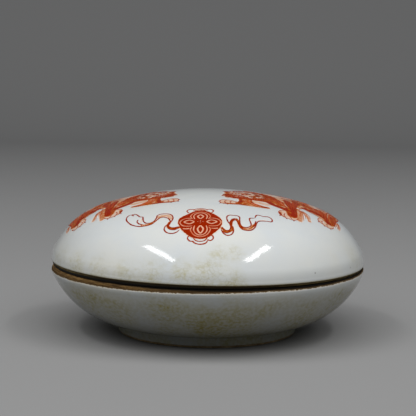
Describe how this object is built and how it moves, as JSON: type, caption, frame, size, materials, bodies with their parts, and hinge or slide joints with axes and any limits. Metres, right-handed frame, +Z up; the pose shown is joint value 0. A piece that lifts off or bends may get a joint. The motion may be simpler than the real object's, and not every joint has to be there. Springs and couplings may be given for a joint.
{
  "type": "seal paste box",
  "caption": "Round, low porcelain box on a foot ring with a domed lift-off lid that seats over a collar, holding seal paste.",
  "frame": {"origin": "centre of the foot ring on the surface that the box stands on", "axes": "+Z up, along the axis that everything is turned about; -Y is the side that the picture shows"},
  "size_m": [0.1, 0.1, 0.0454],
  "materials": {
    "clay": "matte",
    "glaze": "gloss",
    "paste": "satin"
  },
  "bodies": {
    "box": {"box_body": "clay", "box_outer_glaze": "glaze", "box_inner_glaze": "glaze", "foot_recess_glaze": "glaze", "seal_paste": "paste"},
    "lid": {"lid_body": "clay", "lid_outer_glaze": "glaze", "lid_inner_glaze": "glaze"}
  },
  "joints": [
    {"name": "lid_lift", "type": "slide", "parent": "box", "child": "lid", "axis": [0, 0, 1], "range_m": [0, 0.06]}
  ]
}
